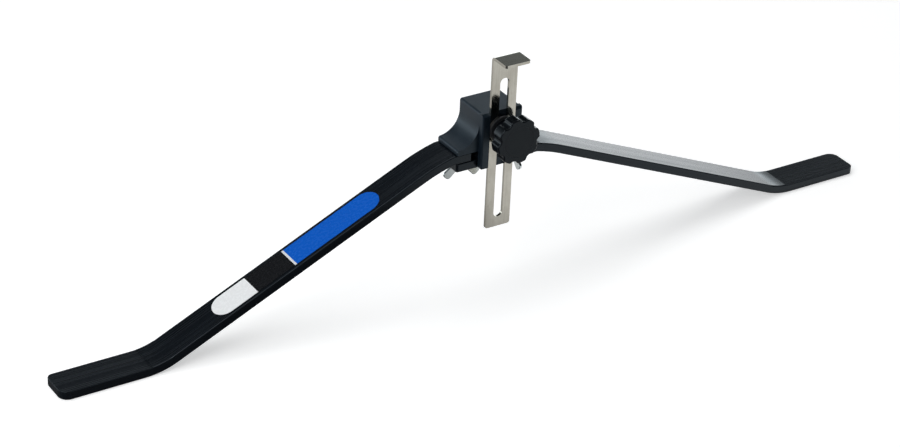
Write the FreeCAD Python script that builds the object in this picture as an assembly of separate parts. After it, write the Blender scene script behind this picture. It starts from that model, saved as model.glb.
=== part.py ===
# Wheel dishing gauge: two bent flat bars lie one on the other in a hub, with a sliding slotted indicator.
# +X runs along the arms to the right, -Y is the front, where the knob is, and +Z is up.
# The origin is the centre of the gauge's box on the surface that the two feet rest on.
import FreeCAD, Part
import math
import os

Vector = FreeCAD.Vector

# Arms: flat bar, bent twice. The left arm is the upper bar in the hub and the right arm the lower one.
half_length = 324.2          # middle of the gauge to the end of a foot
foot_length = 64.4           # end of a foot to the sharp line on its upper face
arm_width = 25.4
arm_thickness = 6.35
arch_height = 92.0           # rest surface to the underside of the lower bar in the hub
foot_bend_radius = 50.0      # hollow side
foot_mill_depth = 0.25       # the foot's upper face is machined down to a sharp line
shoulder_start = 0.6         # the bars stay flat this far past the hub's wings
shoulder_radius = 15.0       # crown side, first and tighter part of the bend
shoulder_angle = 14.0        # degrees turned by that first part
shoulder_spring_radius = 125.0
foot_corner_radius = 4.2
foot_round_corner_radius = 7.0    # the right foot's back corner and the left foot's front one
upper_bar_corner_radius = 10.0   # round enough to turn behind the guide block
lower_bar_corner_radius = 1.5
bar_edge_radius = 0.8

# Hub: a column with curved flanks that run out into two flat wings
column_width = 31.4
column_height = 29.2         # above the upper bar
flank_radius = 16.2
wing_thickness = 4.0
hub_depth = 26.4
hub_edge_radius = 1.8
wing_low_edge_radius = 0.6
boss_projection = 4.5        # the guide block's depth in front of the column
boss_drop = 12.8             # how far the guide block hangs below the upper bar's upper face
boss_edge_radius = 1.2
boss_top_chamfer = 1.8

# Clamp under the arms
stud_spacing = 40.0
stud_diameter = 5.0
stud_depth = 5.0             # how far a stud is screwed into the hub
nut_washer_diameter = 12.0
nut_washer_thickness = 0.8
nut_base_diameter = 11.0
nut_neck_diameter = 9.0
nut_height = 4.2
nut_wing_span = 29.0
nut_wing_height = 11.7
nut_wing_thickness = 2.0
nut_wing_tip_reach = 4.8     # a wing's end slopes: its lower corner lies this far in from its outer one
nut_wing_tip_rise = 4.3      # and the outer corner this far above the lower one
nut_wing_corner_radius = 2.2
nut_wing_foot_reach = 1.7    # how far a wing's upper corner stands out past the nut's base
nut_wing_foot_height = 1.0   # that corner below the nut's seat
nut_wing_edge_radius = 0.5
stud_end_projection = 0.8
screw_end_chamfer = 0.6
left_nut_angle = -7.0        # degrees that each nut happens to be turned at rest
right_nut_angle = -90.0

# Indicator: slotted strip with its top bent forward
indicator_width = 19.7
indicator_thickness = 2.0
indicator_top = 71.4         # above the upper bar
indicator_bottom = -59.6     # from the upper bar's upper face
indicator_tab_depth = 15.2
indicator_bend_radius = 1.2  # inner side
indicator_corner_radius = 1.75
slot_width = 7.1
slot_top_margin = 17.5
slot_bottom_margin = 7.4

# Clamp bolt, its washer and the knob
bolt_height = 15.5           # above the upper bar
bolt_diameter = 6.0
bolt_head_across_flats = 10.0
bolt_head_height = 4.0
bolt_end_cover = 6.5         # bolt end to the knob's front face
knob_washer_diameter = 20.0
knob_washer_thickness = 1.6
knob_diameter = 33.2
knob_thickness = 9.2
knob_neck_diameter = 15.0
knob_neck_length = 10.3
knob_lobes = 8
knob_notch_radius = 3.4
knob_notch_depth = 2.0
knob_lobe_radius = 1.8
knob_angle = -11.0           # degrees that the knob happens to be turned at rest
knob_rim_radius = 0.9
knob_cap_diameter = 22.5
knob_cap_thickness = 1.4
insert_diameter = 9.0
insert_end_gap = 0.9         # bolt end to the insert's front end

# Sticker on the left arm
label_length = 135.6
label_width = 19.6
label_thickness = 0.2
label_start = 38.1           # along the ramp, from where it leaves the foot's bend

# Clearances
swing_clearance = 0.1        # above and below the upper bar, between hub and lower bar
stop_clearance = 0.5         # arm's front face to the guide block
running_clearance = 0.1      # radial, round a stud or bolt
arm_slot_clearance = 0.25    # each side of the stud in the left arm's slot
thread_clearance = 0.03      # radial, where a stud is screwed home
slide_clearance = 0.12       # each side of the indicator in its channel
pocket_clearance = 0.1       # round the bolt's head, the insert and the knob's cap

# Levels and planes worked out from the sizes above
lower_bar_top = arch_height + arm_thickness
arm_top = lower_bar_top + swing_clearance + arm_thickness
wing_bottom = arm_top + swing_clearance
hub_top = arm_top + column_height
boss_bottom = arm_top - boss_drop
half_column = column_width / 2
half_wing = half_column + flank_radius
stud_x = stud_spacing / 2
nut_seat = arch_height - nut_washer_thickness
stud_bottom = nut_seat - nut_height - stud_end_projection
crease_x = half_length - foot_length
bolt_z = arm_top + bolt_height
back_y = arm_width / 2 + stop_clearance
column_front_y = back_y - hub_depth
boss_front_y = column_front_y - boss_projection
channel_floor_y = boss_front_y + indicator_thickness + slide_clearance
knob_neck_y = boss_front_y - knob_washer_thickness
knob_back_y = knob_neck_y - knob_neck_length
knob_front_y = knob_back_y - knob_thickness
tab_front_y = boss_front_y - indicator_tab_depth
front_y = min(knob_front_y, tab_front_y)
bolt_end_y = knob_front_y + bolt_end_cover
insert_front_y = bolt_end_y - insert_end_gap
bolt_head_y = back_y - bolt_head_height
indicator_back_y = boss_front_y + indicator_thickness
centre_shift = Vector(0, -(front_y + back_y) / 2, 0)
same_place = 1e-4            # coordinates this near to each other count as equal


def box(x0, x1, y0, y1, z0, z1):
    return Part.makeBox(x1 - x0, y1 - y0, z1 - z0, Vector(x0, y0, z0))


def upright(radius, x, y, z0, z1):
    return Part.makeCylinder(radius, z1 - z0, Vector(x, y, z0))


def along_y(radius, x, z, y0, y1):
    return Part.makeCylinder(radius, y1 - y0, Vector(x, y0, z), Vector(0, 1, 0))


def line(a, b):
    return Part.LineSegment(a, b).toShape()


def arc(a, middle, b):
    return Part.Arc(a, middle, b).toShape()


def edges_where(shape, test):
    return [edge for edge in shape.Edges if test(edge.BoundBox)]


def is_at(low, high, value):
    return abs(low - value) < same_place and abs(high - value) < same_place


def on_circle(centre, radius, angle):
    return Vector(centre[0] + radius * math.sin(angle), 0, centre[1] + radius * math.cos(angle))


def bend_centres(top, ramp):
    """X and Z of the centres of a bar's three bends, from the hub outwards, for its ramp's angle."""
    first = math.radians(shoulder_angle)
    tight_centre = (half_wing + shoulder_start, top - shoulder_radius)
    turn = shoulder_spring_radius - shoulder_radius
    spring_centre = (tight_centre[0] - turn * math.sin(first), tight_centre[1] - turn * math.cos(first))
    ramp_top = on_circle(spring_centre, shoulder_spring_radius, ramp)
    foot_centre_z = arm_thickness + foot_bend_radius
    ramp_foot_z = foot_centre_z - foot_bend_radius * math.cos(ramp)
    ramp_foot_x = ramp_top.x + (ramp_top.z - ramp_foot_z) / math.tan(ramp)
    foot_centre = (ramp_foot_x + foot_bend_radius * math.sin(ramp), foot_centre_z)
    return tight_centre, spring_centre, foot_centre


def milled_half_chord():
    """From the middle of the foot's bend to the sharp line that the milling leaves."""
    return math.sqrt(2 * foot_bend_radius * foot_mill_depth)


def ramp_for(top):
    """The ramp's angle that puts a bar's sharp line where the foot's length wants it."""
    shallow = math.radians(shoulder_angle)
    steep = math.radians(60)
    while steep - shallow > same_place ** 2:
        ramp = (shallow + steep) / 2
        if bend_centres(top, ramp)[2][0] - milled_half_chord() > crease_x:
            shallow = ramp
        else:
            steep = ramp
    return steep


def bar_face(depth, top, reverse):
    """Edges of one face of a bar, a depth below its upper face, from the hub to the foot."""
    ramp = ramp_for(top)
    tight, spring, foot = bend_centres(top, ramp)
    first = math.radians(shoulder_angle)
    r1 = shoulder_radius - depth
    r2 = shoulder_spring_radius - depth
    r3 = foot_bend_radius + depth
    points = [
        Vector(-half_wing, 0, top - depth),
        on_circle(tight, r1, 0),
        on_circle(tight, r1, first / 2),
        on_circle(tight, r1, first),
        on_circle(spring, r2, (first + ramp) / 2),
        on_circle(spring, r2, ramp),
        on_circle(foot, -r3, ramp),
        on_circle(foot, -r3, ramp / 2),
        on_circle(foot, -r3, 0),
        Vector(half_length, 0, arm_thickness - depth),
    ]
    edges = [
        line(points[0], points[1]),
        arc(points[1], points[2], points[3]),
        arc(points[3], points[4], points[5]),
        line(points[5], points[6]),
        arc(points[6], points[7], points[8]),
        line(points[8], points[9]),
    ]
    return edges[::-1] if reverse else edges


def make_bar(top, inner_corner_radius, rounder_side):
    """A bar from under the left wing to the right foot. One corner of the foot is rounder: 1 back, -1 front."""
    upper = bar_face(0, top, False)
    lower = bar_face(arm_thickness, top, True)
    outer_end = line(Vector(half_length, 0, arm_thickness), Vector(half_length, 0, 0))
    inner_end = line(Vector(-half_wing, 0, top - arm_thickness), Vector(-half_wing, 0, top))
    wire = Part.Wire(upper + [outer_end] + lower + [inner_end])
    bar = Part.Face(wire).extrude(Vector(0, arm_width, 0))
    bar.translate(Vector(0, -arm_width / 2, 0))
    corners = (
        (half_length, rounder_side, foot_round_corner_radius),
        (half_length, -rounder_side, foot_corner_radius),
        (-half_wing, 1, inner_corner_radius),
        (-half_wing, -1, inner_corner_radius),
    )
    for x, side, radius in corners:
        end = edges_where(bar, lambda b: is_at(b.XMin, b.XMax, x) and b.YMin * side > 0)
        bar = bar.makeFillet(radius, [edge for edge in end if edge.BoundBox.ZLength > arm_thickness / 2])
    rims = edges_where(bar, lambda b: b.XLength > bar_edge_radius)
    bar = bar.makeFillet(bar_edge_radius, rims)
    return bar.cut(foot_milling(top))


def foot_milling(top):
    """What is machined off the foot's upper face, up to a sharp line in the hollow of the bend."""
    start_x = bend_centres(top, ramp_for(top))[2][0] - milled_half_chord()
    floor_z = arm_thickness - foot_mill_depth
    return box(start_x, 2 * half_length, -arm_width, arm_width, floor_z, arch_height / 2)


def stud_hole(x):
    return upright(stud_diameter / 2 + running_clearance, x, 0, 0, hub_top)


def make_right_arm():
    """The lower bar, held by both studs."""
    bar = make_bar(lower_bar_top, lower_bar_corner_radius, 1)
    return bar.cut(stud_hole(-stud_x)).cut(stud_hole(stud_x))


def make_left_arm():
    """The upper bar. It turns on the right stud, and a slot, open to the front, leaves the left one."""
    bar = make_bar(arm_top, upper_bar_corner_radius, -1)
    pivot_x = -stud_x
    half_slot = stud_diameter / 2 + arm_slot_clearance
    slot = upright(stud_spacing + half_slot, pivot_x, 0, 0, hub_top)
    slot = slot.cut(upright(stud_spacing - half_slot, pivot_x, 0, 0, hub_top))
    slot = slot.common(box(0, half_length, -arm_width, 0, 0, hub_top))
    slot = slot.fuse(upright(half_slot, stud_x, 0, 0, hub_top))
    return bar.cut(slot).cut(stud_hole(pivot_x)).mirror(Vector(0, 0, 0), Vector(1, 0, 0))


def make_label():
    """Thin sticker with round ends on the left ramp."""
    ramp = ramp_for(arm_top)
    foot = bend_centres(arm_top, ramp)[2]
    start = on_circle(foot, -foot_bend_radius, ramp)
    half = label_width / 2
    straight = label_length - label_width
    plate = box(0, straight, -half, half, 0, label_thickness)
    for x in (0, straight):
        plate = plate.fuse(upright(half, x, 0, 0, label_thickness))
    plate = plate.removeSplitter()
    plate.translate(Vector(label_start + half, 0, 0))
    plate.rotate(Vector(0, 0, 0), Vector(0, 1, 0), -math.degrees(ramp))
    plate.translate(Vector(-start.x, 0, start.z))
    return plate


def column_outline():
    top_right = Vector(half_column, 0, hub_top)
    flank_top = Vector(half_column, 0, wing_bottom + wing_thickness + flank_radius)
    centre = (half_wing, flank_top.z)
    flank_middle = on_circle(centre, -flank_radius, math.radians(45))
    wing_tip = Vector(half_wing, 0, wing_bottom + wing_thickness)
    wing_low = Vector(half_wing, 0, wing_bottom)
    right = [top_right, flank_top, flank_middle, wing_tip, wing_low]
    left = [Vector(-p.x, 0, p.z) for p in right]
    edges = [line(left[0], right[0])]
    edges += [line(right[0], right[1]), arc(right[1], right[2], right[3]), line(right[3], right[4])]
    edges += [line(right[4], left[4])]
    edges += [line(left[4], left[3]), arc(left[3], left[2], left[1]), line(left[1], left[0])]
    return Part.Face(Part.Wire(edges))


def make_boss():
    shoulder_z = hub_top - boss_top_chamfer
    outline = [
        Vector(-half_column, column_front_y, boss_bottom),
        Vector(-half_column, boss_front_y, boss_bottom),
        Vector(-half_column, boss_front_y, shoulder_z),
        Vector(-half_column, boss_front_y + boss_top_chamfer, hub_top),
        Vector(-half_column, column_front_y, hub_top),
    ]
    face = Part.Face(Part.makePolygon(outline + outline[:1]))
    boss = face.extrude(Vector(column_width, 0, 0))
    front = edges_where(boss, lambda b: is_at(b.YMin, b.YMax, boss_front_y) and b.ZLength > boss_drop)
    boss = boss.makeFillet(boss_edge_radius, front)
    low = edges_where(boss, lambda b: is_at(b.ZMin, b.ZMax, boss_bottom))
    front_low = [edge for edge in low if edge.BoundBox.YMin < column_front_y - same_place]
    return boss.makeFillet(hub_edge_radius, front_low)


def make_hub():
    column = column_outline().extrude(Vector(0, hub_depth, 0))
    column.translate(Vector(0, column_front_y, 0))
    back = edges_where(column, lambda b: is_at(b.YMin, b.YMax, back_y))
    rims = [edge for edge in back if edge.BoundBox.ZMax > wing_bottom + same_place]
    rims += edges_where(column, lambda b: is_at(b.ZMin, b.ZMax, hub_top) and b.YLength > hub_depth / 2)
    for x in (-half_wing, half_wing):
        rims += edges_where(column, lambda b: is_at(b.XMin, b.XMax, x) and b.ZMin > wing_bottom + same_place)
    column = column.makeFillet(hub_edge_radius, rims)
    low = edges_where(column, lambda b: is_at(b.ZMin, b.ZMax, wing_bottom) and b.YLength > hub_depth / 2)
    column = column.makeFillet(wing_low_edge_radius, low)
    hub = column.fuse(make_boss())
    channel = indicator_width / 2 + slide_clearance
    hub = hub.cut(box(-channel, channel, front_y, channel_floor_y, 0, 2 * hub_top))
    hub = hub.cut(along_y(bolt_diameter / 2 + thread_clearance, 0, bolt_z, front_y, back_y))
    hub = hub.cut(hexagon(bolt_head_across_flats / 2 + pocket_clearance, bolt_head_y, back_y))
    for side in (-1, 1):
        hole = upright(stud_diameter / 2 + thread_clearance, side * stud_x, 0, 0, wing_bottom + stud_depth)
        hub = hub.cut(hole)
    return hub


def hexagon(apothem, y0, y1):
    corner = apothem / math.cos(math.radians(30))
    points = []
    for k in range(7):
        angle = math.radians(60 * k)
        points.append(Vector(corner * math.cos(angle), y0, bolt_z + corner * math.sin(angle)))
    return Part.Face(Part.makePolygon(points)).extrude(Vector(0, y1 - y0, 0))


def make_stud(side):
    stud = upright(stud_diameter / 2, side * stud_x, 0, stud_bottom, wing_bottom + stud_depth)
    end = edges_where(stud, lambda b: is_at(b.ZMin, b.ZMax, stud_bottom))
    return stud.makeChamfer(screw_end_chamfer, end)


def make_nut_washer(side):
    washer = upright(nut_washer_diameter / 2, side * stud_x, 0, nut_seat, arch_height)
    return washer.cut(stud_hole(side * stud_x))


def nut_wing():
    """One wing, standing in the XZ plane on the nut's axis, with Z counted down from the seat."""
    root = stud_diameter / 2
    tip_x = nut_wing_span / 2
    outline = [
        Vector(root, 0, -nut_wing_foot_height),
        Vector(nut_base_diameter / 2 + nut_wing_foot_reach, 0, -nut_wing_foot_height),
        Vector(tip_x, 0, nut_wing_tip_rise - nut_wing_height),
        Vector(tip_x - nut_wing_tip_reach, 0, -nut_wing_height),
        Vector(root, 0, -nut_height),
    ]
    wing = Part.Face(Part.makePolygon(outline + outline[:1])).extrude(Vector(0, nut_wing_thickness, 0))
    wing.translate(Vector(0, -nut_wing_thickness / 2, 0))
    across = edges_where(wing, lambda b: b.YLength > nut_wing_thickness / 2)
    corners = [edge for edge in across if edge.BoundBox.XMin > nut_neck_diameter / 2]
    wing = wing.makeFillet(nut_wing_corner_radius, corners)
    rims = edges_where(wing, lambda b: b.YLength < same_place and b.XMax > nut_neck_diameter / 2)
    return wing.makeFillet(nut_wing_edge_radius, rims)


def make_wing_nut(side, angle):
    down = Vector(0, 0, -1)
    body = Part.makeCone(nut_base_diameter / 2, nut_neck_diameter / 2, nut_height, Vector(0, 0, 0), down)
    wing = nut_wing()
    other = wing.copy()
    other.rotate(Vector(0, 0, 0), Vector(0, 0, 1), 180)
    nut = body.fuse([wing, other])
    nut = nut.cut(upright(stud_diameter / 2 + running_clearance, 0, 0, -2 * nut_wing_height, nut_height))
    nut.rotate(Vector(0, 0, 0), Vector(0, 0, 1), angle)
    nut.translate(Vector(side * stud_x, 0, nut_seat))
    return nut


def make_indicator():
    top = arm_top + indicator_top
    tab_bottom = top - indicator_thickness
    bottom = arm_top + indicator_bottom
    outer = indicator_bend_radius + indicator_thickness
    bend = Vector(0, boss_front_y - indicator_bend_radius, top - outer)
    slant = math.sqrt(0.5)
    edges = [
        line(Vector(0, boss_front_y, bottom), Vector(0, boss_front_y, bend.z)),
        arc(Vector(0, boss_front_y, bend.z),
            bend + Vector(0, indicator_bend_radius * slant, indicator_bend_radius * slant),
            Vector(0, bend.y, tab_bottom)),
        line(Vector(0, bend.y, tab_bottom), Vector(0, tab_front_y, tab_bottom)),
        line(Vector(0, tab_front_y, tab_bottom), Vector(0, tab_front_y, top)),
        line(Vector(0, tab_front_y, top), Vector(0, bend.y, top)),
        arc(Vector(0, bend.y, top),
            bend + Vector(0, outer * slant, outer * slant),
            Vector(0, indicator_back_y, bend.z)),
        line(Vector(0, indicator_back_y, bend.z), Vector(0, indicator_back_y, bottom)),
        line(Vector(0, indicator_back_y, bottom), Vector(0, boss_front_y, bottom)),
    ]
    half = indicator_width / 2
    strip = Part.Face(Part.Wire(edges)).extrude(Vector(indicator_width, 0, 0))
    strip.translate(Vector(-half, 0, 0))
    corners = edges_where(strip, lambda b: is_at(b.ZMin, b.ZMax, bottom) and b.XLength < same_place)
    corners += edges_where(strip, lambda b: is_at(b.YMin, b.YMax, tab_front_y) and b.XLength < same_place)
    strip = strip.makeFillet(indicator_corner_radius, corners)
    low = bottom + slot_bottom_margin + slot_width / 2
    high = top - slot_top_margin - slot_width / 2
    slot = box(-slot_width / 2, slot_width / 2, front_y, back_y, low, high)
    for z in (low, high):
        slot = slot.fuse(along_y(slot_width / 2, 0, z, front_y, back_y))
    return strip.cut(slot)


def make_bolt():
    shank = along_y(bolt_diameter / 2, 0, bolt_z, bolt_end_y, bolt_head_y)
    end = edges_where(shank, lambda b: is_at(b.YMin, b.YMax, bolt_end_y))
    shank = shank.makeChamfer(screw_end_chamfer, end)
    return shank.fuse(hexagon(bolt_head_across_flats / 2, bolt_head_y, back_y))


def bolt_hole():
    return along_y(bolt_diameter / 2 + running_clearance, 0, bolt_z, front_y, back_y)


def make_knob_washer():
    washer = along_y(knob_washer_diameter / 2, 0, bolt_z, knob_neck_y, boss_front_y)
    return washer.cut(bolt_hole())


def make_insert():
    return along_y(insert_diameter / 2, 0, bolt_z, insert_front_y, knob_neck_y).cut(bolt_hole())


def lobed_disc():
    radius = knob_diameter / 2
    disc = along_y(radius, 0, bolt_z, knob_front_y, knob_back_y)
    notch_centre = radius - knob_notch_depth + knob_notch_radius
    for k in range(knob_lobes):
        angle = math.radians(knob_angle + 360 * k / knob_lobes)
        x = notch_centre * math.cos(angle)
        z = bolt_z + notch_centre * math.sin(angle)
        disc = disc.cut(along_y(knob_notch_radius, x, z, knob_front_y, knob_back_y))
    corners = edges_where(disc, lambda b: b.XLength < same_place and b.ZLength < same_place)
    disc = disc.makeFillet(knob_lobe_radius, corners)
    rims = edges_where(disc, lambda b: b.YLength < same_place)
    return disc.makeFillet(knob_rim_radius, rims)


def make_knob():
    knob = lobed_disc().fuse(along_y(knob_neck_diameter / 2, 0, bolt_z, knob_back_y, knob_neck_y))
    insert_hole = insert_diameter / 2 + pocket_clearance
    knob = knob.cut(along_y(insert_hole, 0, bolt_z, insert_front_y, knob_neck_y))
    recess = knob_cap_diameter / 2 + pocket_clearance
    return knob.cut(along_y(recess, 0, bolt_z, knob_front_y, knob_front_y + knob_cap_thickness))


def make_knob_cap():
    return along_y(knob_cap_diameter / 2, 0, bolt_z, knob_front_y, knob_front_y + knob_cap_thickness)


def build():
    return {
        "hub_body": make_hub(),
        "left_arm": make_left_arm(),
        "right_arm": make_right_arm(),
        "arm_label": make_label(),
        "left_stud": make_stud(-1),
        "right_stud": make_stud(1),
        "left_nut_washer": make_nut_washer(-1),
        "right_nut_washer": make_nut_washer(1),
        "left_wing_nut": make_wing_nut(-1, left_nut_angle),
        "right_wing_nut": make_wing_nut(1, right_nut_angle),
        "indicator": make_indicator(),
        "clamp_bolt": make_bolt(),
        "knob_washer": make_knob_washer(),
        "knob_insert": make_insert(),
        "knob": make_knob(),
        "knob_cap": make_knob_cap(),
    }


os.makedirs("parts", exist_ok=True)
for node, shape in build().items():
    shape.translate(centre_shift)
    shape.exportStep("parts/" + node + ".step")
    print(node, "solids", len(shape.Solids), "valid", shape.isValid(), "volume", round(shape.Volume, 1))
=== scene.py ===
# Looks of the wheel dishing gauge: materials, floor, lights and camera.
# Lengths are metres. +X runs along the arms, -Y is the front, where the knob is, and +Z is up.
import bpy
import math
from mathutils import Matrix, Vector


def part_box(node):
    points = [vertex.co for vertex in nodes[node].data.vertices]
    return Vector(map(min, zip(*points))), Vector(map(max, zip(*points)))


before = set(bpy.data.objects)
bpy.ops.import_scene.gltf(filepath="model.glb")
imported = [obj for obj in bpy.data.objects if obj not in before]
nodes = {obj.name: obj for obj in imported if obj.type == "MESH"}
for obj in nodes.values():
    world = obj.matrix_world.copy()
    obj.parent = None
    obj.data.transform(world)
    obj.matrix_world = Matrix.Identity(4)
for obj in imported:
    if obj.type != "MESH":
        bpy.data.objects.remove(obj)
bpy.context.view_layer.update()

MM = 0.001

THREAD_PITCH = 0.8 * MM
NOISE_MIDDLE = (0.3, 0.7)      # the range that most of a noise's values lie in

# Where the label's fields start, as shares of its length
LABEL_BLACK_FROM = 0.228
LABEL_LINE_FROM = 0.452
LABEL_BLUE_FROM = 0.464

FLOOR_SIZE = 40
FLOOR_GAP = 0.02 * MM          # below the feet, so that no faces coincide
FLOOR_GLOW_NEAR = 0.53         # what the camera sees the floor glow by, near the object and far away
FLOOR_GLOW_FAR = 1.0

# The world's tone by the height of the direction, from level to straight up
WORLD_STOPS = ((0.0, 0.95), (0.10, 0.80), (0.30, 0.11), (0.50, 0.032), (0.68, 0.012), (1.0, 0.08))
WORLD_TINT = (0.88, 0.96, 1.0)

# The camera was fitted to the photograph's edges
PHOTO_WIDTH = 900
FOCAL_LENGTH_PIXELS = 2647.711
SENSOR_WIDTH = 36.0


# Node graphs

class Graph:
    """A material's or world's node tree, with short ways to add and join nodes."""

    def __init__(self, owner):
        owner.use_nodes = True
        self.tree = owner.node_tree
        self.tree.nodes.clear()

    def add(self, kind, inputs=None, **settings):
        node = self.tree.nodes.new(kind)
        for key, value in settings.items():
            setattr(node, key, value)
        for key, value in (inputs or {}).items():
            self.put(node.inputs[key], value)
        return node

    def put(self, socket, value):
        if isinstance(value, bpy.types.NodeSocket):
            self.tree.links.new(value, socket)
        else:
            socket.default_value = value

    def math(self, operation, a, b):
        return self.add("ShaderNodeMath", {0: a, 1: b}, operation=operation).outputs[0]

    def place(self):
        """Object coordinates, in metres."""
        return self.add("ShaderNodeTexCoord").outputs["Object"]

    def axes(self, vector):
        return self.add("ShaderNodeSeparateXYZ", {"Vector": vector}).outputs

    def noise(self, scale, detail=3.0, roughness=0.5, stretch=(1, 1, 1)):
        """Noise over the object coordinates, which are first scaled per axis by stretch."""
        where = self.add("ShaderNodeMapping", {"Vector": self.place(), "Scale": stretch})
        node = self.add("ShaderNodeTexNoise", {
            "Vector": where.outputs["Vector"], "Scale": scale, "Detail": detail, "Roughness": roughness,
        })
        return node.outputs["Fac"]

    def spread(self, value, low, high, to_low, to_high):
        node = self.add("ShaderNodeMapRange", {
            "Value": value, "From Min": low, "From Max": high, "To Min": to_low, "To Max": to_high,
        })
        return node.outputs["Result"]

    def vary(self, noise, low, high):
        """A number that follows a noise from low to high."""
        return self.spread(noise, *NOISE_MIDDLE, low, high)

    def mix(self, factor, a, b):
        node = self.add("ShaderNodeMix", data_type="RGBA")
        self.put(node.inputs["Factor"], factor)
        self.put(node.inputs["A"], a)
        self.put(node.inputs["B"], b)
        return node.outputs["Result"]

    def mottle(self, noise, a, b):
        """A colour that follows a noise from a to b."""
        return self.mix(self.vary(noise, 0, 1), a, b)

    def bump(self, height, distance, strength, under=None):
        inputs = {"Height": height, "Distance": distance, "Strength": strength}
        if under is not None:
            inputs["Normal"] = under
        return self.add("ShaderNodeBump", inputs).outputs["Normal"]

    def surface(self, inputs):
        shader = self.add("ShaderNodeBsdfPrincipled", inputs)
        self.add("ShaderNodeOutputMaterial", {"Surface": shader.outputs["BSDF"]})


def rgb(r, g, b):
    return (r, g, b, 1.0)


WHITE = rgb(1.0, 1.0, 1.0)


def new_material(name):
    material = bpy.data.materials.new(name)
    return material, Graph(material)


def paint(node, material):
    """Gives a CAD node this material all over."""
    slots = nodes[node].material_slots
    if not slots:
        nodes[node].data.materials.append(material)
    for slot in slots:
        slot.material = material


# Materials

def arm_material():
    """Black oxide over drawn bar: satin, with fine drawing lines along the bar."""
    material, g = new_material("arm_black_oxide")
    lines = g.noise(1.0, roughness=0.55, stretch=(2.5, 1900, 40))
    broad = g.noise(1.0, stretch=(3, 160, 6))
    blotch = g.noise(1.0, 4.0, 0.6, stretch=(25, 25, 25))
    base = g.mottle(blotch, rgb(0.0016, 0.0026, 0.0044), rgb(0.0030, 0.0046, 0.0074))
    base = g.mix(g.spread(lines, 0.55, 0.8, 0, 0.4), base, rgb(0.0065, 0.0095, 0.0145))
    g.surface({
        "Base Color": base, "IOR": 1.42, "Specular Tint": rgb(0.76, 0.90, 1.0),
        "Roughness": g.math("ADD", g.vary(lines, 0.2, 0.31), g.vary(broad, -0.03, 0.04)),
        "Normal": g.bump(lines, 0.01 * MM, 0.18),
    })
    return material


def hub_material():
    """Satin blue-grey black coating with a fine orange peel over faint tool lines."""
    material, g = new_material("hub_satin_coating")
    peel = g.noise(1400, 2.0)
    tool_lines = g.noise(1.0, roughness=0.6, stretch=(12, 1500, 60))
    blotch = g.noise(60, 4.0, 0.6)
    base = g.mottle(blotch, rgb(0.0052, 0.0100, 0.0160), rgb(0.0085, 0.0145, 0.0220))
    base = g.mix(g.spread(tool_lines, 0.5, 0.8, 0, 0.5), base, rgb(0.015, 0.024, 0.034))
    g.surface({
        "Base Color": base, "IOR": 1.45, "Specular Tint": rgb(0.72, 0.88, 1.0),
        "Roughness": g.vary(blotch, 0.33, 0.42),
        "Normal": g.bump(tool_lines, 0.012 * MM, 0.3, g.bump(peel, 0.03 * MM, 0.3)),
    })
    return material


def indicator_material():
    """Polished nickel-plated strip with faint drawing lines along it, stains and spots."""
    material, g = new_material("indicator_nickel")
    lines = g.noise(1.0, roughness=0.6, stretch=(1500, 1500, 12))
    stain = g.noise(90, 5.0, 0.65, stretch=(1, 1, 0.6))
    spots = g.noise(420, 2.0)
    base = g.mix(g.spread(stain, 0.35, 0.7, 0, 1), rgb(0.64, 0.615, 0.545), rgb(0.50, 0.47, 0.405))
    base = g.mix(g.spread(spots, 0.62, 0.75, 0, 0.35), base, rgb(0.39, 0.34, 0.28))
    base = g.mix(g.spread(lines, 0.45, 0.75, 0, 0.35), base, rgb(0.36, 0.33, 0.28))
    g.surface({
        "Base Color": base, "Metallic": 1.0, "Roughness": g.vary(stain, 0.06, 0.14),
        "Normal": g.bump(lines, 0.02 * MM, 0.35, g.bump(stain, 0.06 * MM, 0.3)),
    })
    return material


def knob_material(name, smoothest, roughest):
    """Moulded black plastic, satin, with fine spark-eroded grain."""
    material, g = new_material(name)
    grain = g.noise(2600, 2.0)
    blotch = g.noise(80)
    g.surface({
        "Base Color": g.mottle(blotch, rgb(0.0024, 0.0034, 0.0048), rgb(0.0040, 0.0054, 0.0072)),
        "IOR": 1.33, "Specular Tint": rgb(0.80, 0.92, 1.0),
        "Roughness": g.vary(blotch, smoothest, roughest),
        "Normal": g.bump(grain, 0.02 * MM, 0.3),
    })
    return material


def zinc_material(name, thread_axis=None):
    """Bright zinc plate, slightly rough, with a screw's thread along an axis if one is given."""
    material, g = new_material(name)
    cast = g.noise(500)
    tone = g.noise(120, 4.0)
    thread = None
    if thread_axis:
        along = g.axes(g.place())[thread_axis]
        ridge = g.math("PINGPONG", along, THREAD_PITCH / 2)
        height = g.spread(ridge, 0.0, THREAD_PITCH / 2, 0.0, 1.0)
        thread = g.bump(height, THREAD_PITCH / 2, 0.8)
    g.surface({
        "Base Color": g.mottle(tone, rgb(0.93, 0.96, 0.95), rgb(0.80, 0.85, 0.85)),
        "Metallic": 1.0, "Roughness": g.vary(tone, 0.15, 0.26),
        "Normal": g.bump(cast, 0.04 * MM, 0.4, thread),
    })
    return material


def washer_material():
    """Black oxide washer, slightly uneven."""
    material, g = new_material("washer_black_oxide")
    tone = g.noise(300)
    g.surface({
        "Base Color": g.mottle(tone, rgb(0.014, 0.015, 0.017), rgb(0.024, 0.026, 0.029)),
        "Roughness": 0.35, "IOR": 1.6, "Normal": g.bump(tone, 0.03 * MM, 0.3),
    })
    return material


def brass_material():
    """Turned brass."""
    material, g = new_material("insert_brass")
    tone = g.noise(400)
    g.surface({
        "Base Color": g.mottle(tone, rgb(0.70, 0.52, 0.24), rgb(0.60, 0.43, 0.19)),
        "Metallic": 1.0, "Roughness": 0.3, "Normal": g.bump(tone, 0.02 * MM, 0.3),
    })
    return material


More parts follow.
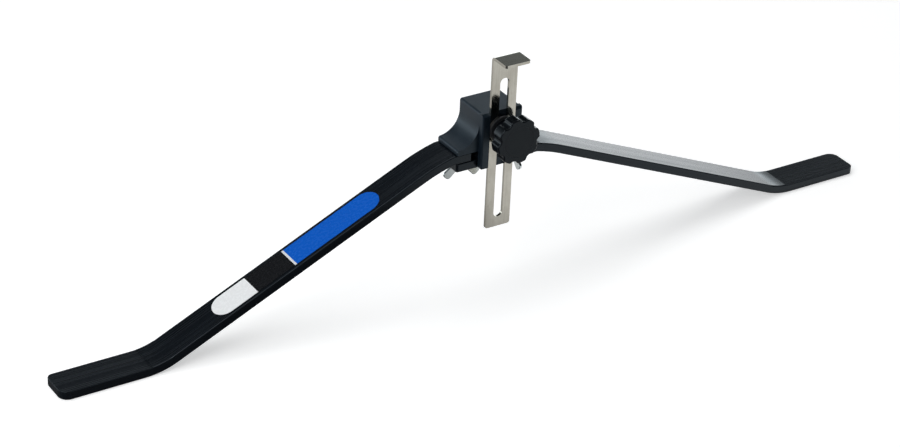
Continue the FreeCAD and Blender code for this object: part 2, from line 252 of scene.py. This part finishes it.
def label_material():
    """Printed film in plain fields: white, black, a thin white line, and blue."""
    material, g = new_material("label_film")
    low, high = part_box("arm_label")
    share = g.spread(g.axes(g.place())["X"], low.x, high.x, 0.0, 1.0)
    fields = (
        (LABEL_BLACK_FROM, rgb(0.004, 0.0045, 0.006)),
        (LABEL_LINE_FROM, rgb(0.75, 0.76, 0.78)),
        (LABEL_BLUE_FROM, rgb(0.0, 0.105, 0.56)),
    )
    colour = rgb(0.90, 0.91, 0.92)
    for start, field_colour in fields:
        colour = g.mix(g.math("GREATER_THAN", share, start), colour, field_colour)
    film = g.noise(500, 2.0)
    g.surface({
        "Base Color": colour, "Roughness": g.vary(film, 0.25, 0.29), "IOR": 1.4,
        "Normal": g.bump(film, 0.003 * MM, 0.05),
    })
    return material


hub_coating = hub_material()
arm_oxide = arm_material()
zinc = zinc_material("zinc_plate")
threaded_zinc = zinc_material("zinc_plate_thread", "Z")
FINISHES = {
    "hub_body": hub_coating,
    "left_arm": arm_oxide, "right_arm": arm_oxide,
    "arm_label": label_material(),
    "left_stud": threaded_zinc, "right_stud": threaded_zinc, "clamp_bolt": zinc,
    "left_nut_washer": zinc, "right_nut_washer": zinc,
    "left_wing_nut": zinc, "right_wing_nut": zinc,
    "indicator": indicator_material(),
    "knob_washer": washer_material(),
    "knob": knob_material("knob_plastic", 0.15, 0.22),
    "knob_cap": knob_material("knob_cap_plastic", 0.30, 0.38),
    "knob_insert": brass_material(),
}
for node_name, finish in FINISHES.items():
    paint(node_name, finish)


# Floor, light and camera

def floor_glow(g, rays, place, axes):
    """How much the floor glows: evenly to the camera, and in reflections more at the back and right."""
    away = g.add("ShaderNodeVectorMath", {0: place}, operation="LENGTH").outputs["Value"]
    seen = g.spread(away, 0.7, 2.5, FLOOR_GLOW_NEAR, FLOOR_GLOW_FAR)
    seen = g.math("MULTIPLY", rays["Is Camera Ray"], seen)
    back = g.spread(axes["Y"], -0.2, 0.5, 0.3, 1.9)
    right = g.spread(axes["X"], -0.1, 0.2, 0.35, 1.0)
    mirrored = g.math("MULTIPLY", g.spread(away, 0.2, 0.8, 0.18, 0.8), back)
    mirrored = g.math("MULTIPLY", mirrored, right)
    mirrored = g.math("MULTIPLY", rays["Is Glossy Ray"], mirrored)
    return g.math("ADD", seen, mirrored)


def floor_colour(g, rays, axes):
    """Pale. Reflections in the object see it dark at the front left, as in a room."""
    pale = g.mix(g.noise(3.0), rgb(0.79, 0.79, 0.79), rgb(0.81, 0.81, 0.81))
    right = g.spread(axes["X"], -0.02, 0.07, 0.0, 1.0)
    back = g.spread(axes["Y"], 0.03, 0.09, 0.0, 0.5)
    mirrored = g.mix(g.math("MAXIMUM", right, back), rgb(0.05, 0.05, 0.055), WHITE)
    return g.mix(rays["Is Glossy Ray"], pale, mirrored)


def floor():
    """A pale floor. The camera sees it lightened, so that only the object's soft shadow stands out."""
    bpy.ops.mesh.primitive_plane_add(size=FLOOR_SIZE, location=(0, 0, -FLOOR_GAP))
    plane = bpy.context.object
    plane.name = "studio_floor"
    material, g = new_material("studio_floor")
    rays = g.add("ShaderNodeLightPath").outputs
    place = g.place()
    axes = g.axes(place)
    matt = g.add("ShaderNodeBsdfDiffuse", {"Color": floor_colour(g, rays, axes)})
    glow = g.add("ShaderNodeEmission", {"Color": WHITE, "Strength": floor_glow(g, rays, place, axes)})
    both = g.add("ShaderNodeAddShader", {0: matt.outputs[0], 1: glow.outputs[0]})
    g.add("ShaderNodeOutputMaterial", {"Surface": both.outputs[0]})
    plane.data.materials.append(material)


def studio_world():
    """White low down at the back, darker overhead and in front, as in a room with a white sweep."""
    world = bpy.data.worlds.new("studio")
    bpy.context.scene.world = world
    g = Graph(world)
    axes = g.axes(g.add("ShaderNodeTexCoord").outputs["Generated"])
    ramp = g.add("ShaderNodeValToRGB", {"Fac": axes["Z"]})
    elements = ramp.color_ramp.elements
    while len(elements) < len(WORLD_STOPS):
        elements.new(0.5)
    for element, (height, tone) in zip(elements, WORLD_STOPS):
        element.position = height
        element.color = rgb(*(tone * tint for tint in WORLD_TINT))
    strength = g.spread(axes["Y"], -0.4, 0.5, 0.7, 3.2)
    seen = g.add("ShaderNodeLightPath").outputs["Is Camera Ray"]
    room = g.add("ShaderNodeBackground", {"Color": ramp.outputs["Color"], "Strength": strength})
    plain = g.add("ShaderNodeBackground", {"Color": WHITE, "Strength": 1.0})
    both = g.add("ShaderNodeMixShader", {0: seen, 1: room.outputs[0], 2: plain.outputs[0]})
    g.add("ShaderNodeOutputWorld", {"Surface": both.outputs[0]})


def softbox(name, place, target, size, power):
    light = bpy.data.lights.new(name, "AREA")
    light.shape = "RECTANGLE"
    light.size, light.size_y = size
    light.energy = power
    lamp = bpy.data.objects.new(name, light)
    bpy.context.scene.collection.objects.link(lamp)
    lamp.location = place
    aim = Vector(target) - Vector(place)
    lamp.rotation_euler = aim.to_track_quat("-Z", "Y").to_euler()


def camera(azimuth, elevation, roll, distance, target):
    """A camera that looks at the target from these angles, in degrees, and is rolled on its own axis."""
    a, e, r = (math.radians(v) for v in (azimuth, elevation, roll))
    back = Vector((math.sin(a) * math.cos(e), -math.cos(a) * math.cos(e), math.sin(e)))
    level = Vector((0, 0, 1)).cross(back).normalized()
    rise = back.cross(level)
    right = math.cos(r) * level + math.sin(r) * rise
    up = math.cos(r) * rise - math.sin(r) * level
    data = bpy.data.cameras.new("camera")
    data.sensor_width = SENSOR_WIDTH
    data.lens = FOCAL_LENGTH_PIXELS * SENSOR_WIDTH / PHOTO_WIDTH
    data.clip_end = 100.0
    eye = bpy.data.objects.new("camera", data)
    bpy.context.scene.collection.objects.link(eye)
    turn = Matrix((right, up, back)).transposed().to_4x4()
    eye.matrix_world = Matrix.Translation(Vector(target) + back * distance) @ turn
    bpy.context.scene.camera = eye


floor()
studio_world()
LIT_POINT = (0, 0, 0.05)
softbox("overhead", place=(-0.15, 0.45, 1.6), target=LIT_POINT, size=(2.4, 1.0), power=15)
softbox("key", place=(-1.2, -0.5, 1.1), target=LIT_POINT, size=(0.8, 0.8), power=9)

arms_low, arms_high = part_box("left_arm")
arms_y = (arms_low.y + arms_high.y) / 2
camera(azimuth=-32.977, elevation=30.004, roll=2.548, distance=1.817555,
       target=(-27.055 * MM, arms_y, 45.096 * MM))
bpy.context.scene.view_settings.view_transform = "Standard"
